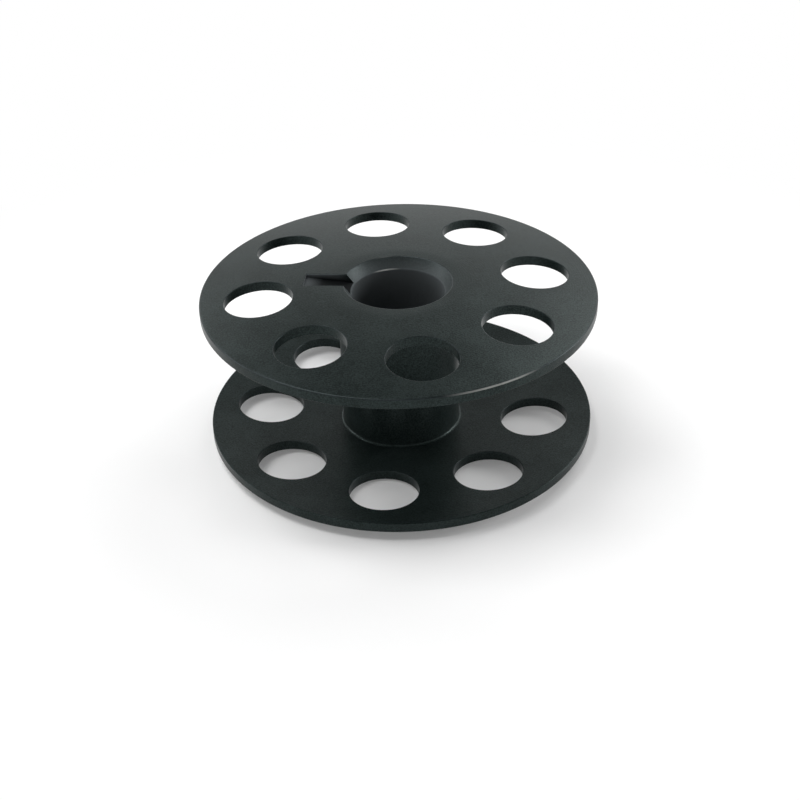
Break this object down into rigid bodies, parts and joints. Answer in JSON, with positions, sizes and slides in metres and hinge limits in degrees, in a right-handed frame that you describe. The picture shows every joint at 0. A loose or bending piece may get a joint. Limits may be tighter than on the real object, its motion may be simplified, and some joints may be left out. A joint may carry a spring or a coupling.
{
  "type": "sewing machine bobbin",
  "caption": "Blackened steel sewing machine bobbin: dished flanges pierced with round holes on a hollow hub, with a flared bore and a drive slot, for winding the lower thread.",
  "frame": {"origin": "centre of the lower end of the hub, on the surface that the bobbin stands on", "axes": "+Z along the bobbin axis towards the slotted flange, and the drive slot along -X"},
  "size_m": [0.0254, 0.0254, 0.0108],
  "materials": {
    "blackened_steel": "satin black oxide on turned steel"
  },
  "bodies": {
    "root": {"bobbin": "blackened_steel"}
  },
  "joints": []
}
